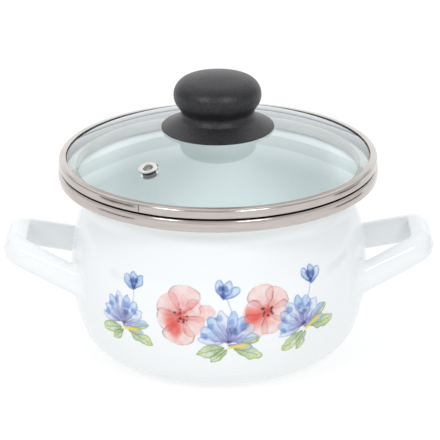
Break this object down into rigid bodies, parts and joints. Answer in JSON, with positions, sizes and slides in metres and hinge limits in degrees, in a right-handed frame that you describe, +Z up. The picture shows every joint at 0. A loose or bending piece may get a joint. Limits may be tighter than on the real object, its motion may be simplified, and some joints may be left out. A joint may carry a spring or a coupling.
{
  "type": "saucepan with glass lid",
  "caption": "Small enamelled steel saucepan with loop side handles, rolled steel rim bands and a domed glass lid with a moulded knob and a steam vent.",
  "frame": {"origin": "centre of the base, on the surface the pot stands on", "axes": "+Z up, +X towards the right handle, -Y the front of the pot"},
  "size_m": [0.2304, 0.1692, 0.1519],
  "materials": {
    "white_enamel": "glossy white vitreous enamel on pressed steel",
    "band_steel": "bright rolled stainless steel",
    "lid_glass": "clear tempered glass, faint green",
    "black_seal": "matte black liner",
    "clear_seal": "translucent silicone",
    "knob_bakelite": "satin charcoal phenolic, fine grain",
    "brass": "turned brass",
    "fastener_steel": "plain stainless steel"
  },
  "bodies": {
    "pot": {"pot_body": "white_enamel", "pot_rim_band": "band_steel", "handle_left": "white_enamel", "handle_right": "white_enamel"},
    "lid": {"lid_glass": "lid_glass", "lid_rim_band": "band_steel", "lid_edge_seal": "black_seal", "lid_knob": "knob_bakelite", "knob_insert": "brass", "knob_upper_seal": "clear_seal", "screw_hole_bush": "clear_seal", "knob_lower_seal": "clear_seal", "knob_washer": "fastener_steel", "knob_lock_washer": "fastener_steel", "knob_screw": "fastener_steel", "vent_eyelet": "fastener_steel", "vent_seal": "clear_seal", "vent_washer": "fastener_steel"}
  },
  "joints": [
    {"name": "lid_lift", "type": "slide", "parent": "pot", "child": "lid", "axis": [0, 0, 1], "range_m": [0, 0.1]}
  ]
}
